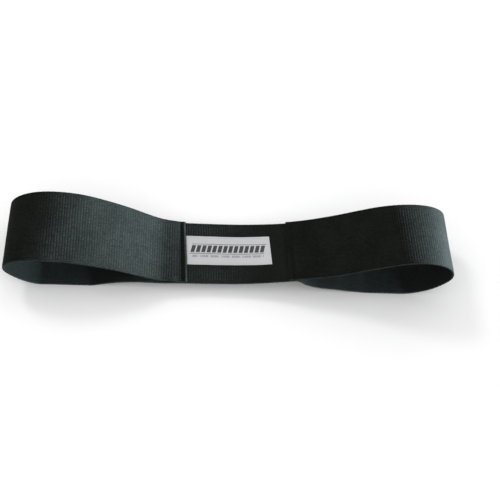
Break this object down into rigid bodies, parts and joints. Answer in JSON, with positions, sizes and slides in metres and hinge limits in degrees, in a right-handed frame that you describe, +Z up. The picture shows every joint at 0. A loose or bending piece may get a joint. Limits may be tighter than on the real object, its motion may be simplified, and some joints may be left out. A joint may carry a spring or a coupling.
{
  "type": "stretching strap",
  "caption": "Black elastic webbing strap for stretching exercises, with an open sewn loop at each end and a small woven label on the single-layer middle.",
  "frame": {"origin": "centre of the strap's box, on the surface that it lies on", "axes": "+X along the strap, +Y across the webbing, +Z up and away from the surface, out of the labelled face"},
  "size_m": [0.3159, 0.0508, 0.0476],
  "materials": {
    "webbing": "matte ribbed weave",
    "seam_thread": "satin twisted thread",
    "label": "satin woven label",
    "label_thread": "satin twisted thread"
  },
  "bodies": {
    "centre": {"centre_webbing": "webbing", "left_sewn_end": "webbing", "right_sewn_end": "webbing", "label": "label", "label_thread": "label_thread", "left_seam_needle_thread": "seam_thread", "left_seam_bobbin_thread": "seam_thread", "right_seam_needle_thread": "seam_thread", "right_seam_bobbin_thread": "seam_thread"},
    "left_loop": {"left_front_strand": "webbing", "left_back_strand": "webbing"},
    "left_bend": {"left_outer_bend": "webbing"},
    "right_loop": {"right_front_strand": "webbing", "right_back_strand": "webbing"},
    "right_bend": {"right_outer_bend": "webbing"}
  },
  "joints": [
    {"name": "left_loop_fold", "type": "hinge", "parent": "centre", "child": "left_loop", "pos_m": [-0.04281, 0, 0.01017], "axis": [0, 1, -0.0059], "range_deg": [0, 90], "stiffness_Nm_per_rad": 0.09},
    {"name": "left_loop_stretch", "type": "slide", "parent": "left_loop", "child": "left_bend", "axis": [-1, 0, 0], "range_m": [0, 0.05], "stiffness_N_per_m": 900},
    {"name": "right_loop_fold", "type": "hinge", "parent": "centre", "child": "right_loop", "pos_m": [0.04715, 0, 0.01746], "axis": [0, -0.998, 0.0626], "range_deg": [0, 90], "stiffness_Nm_per_rad": 0.09},
    {"name": "right_loop_stretch", "type": "slide", "parent": "right_loop", "child": "right_bend", "axis": [1, 0, 0], "range_m": [0, 0.05], "stiffness_N_per_m": 900}
  ]
}
